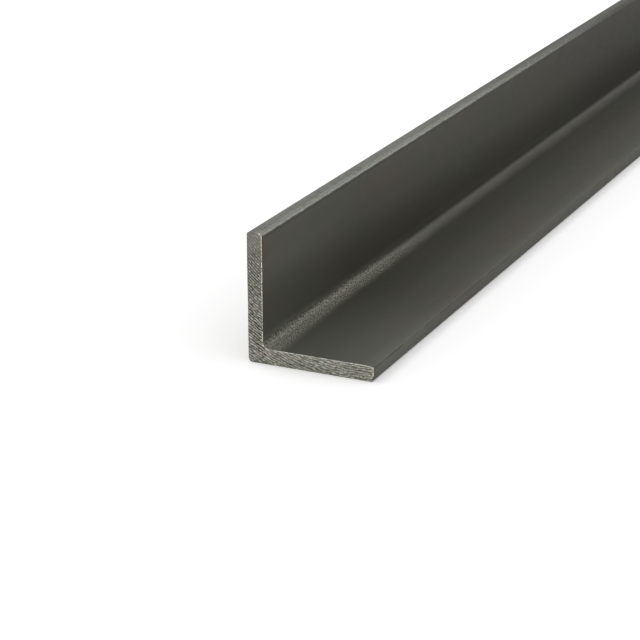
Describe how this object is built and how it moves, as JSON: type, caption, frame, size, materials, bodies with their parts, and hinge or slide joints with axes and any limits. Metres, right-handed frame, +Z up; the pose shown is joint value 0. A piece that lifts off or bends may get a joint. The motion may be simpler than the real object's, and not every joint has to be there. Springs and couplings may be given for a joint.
{
  "type": "metal angle section",
  "caption": "Length of hot-rolled steel equal angle, an L section with rounded root, heel and toes, sawn square at both ends and lying on one leg.",
  "frame": {"origin": "centre of the bottom of the box that holds the angle, on the plane that the lying leg rests on, half way along the length", "axes": "+Y along the length, from the end that faces the viewer to the far end; +X across the lying leg, from the heel towards its toe; +Z up, the way the standing leg rises"},
  "size_m": [0.05, 1, 0.05],
  "materials": {
    "rolled_steel": "dark warm grey hot-rolled mill scale, satin, with bright sawn ends"
  },
  "bodies": {
    "root": {"steel_angle": "rolled_steel"}
  },
  "joints": []
}
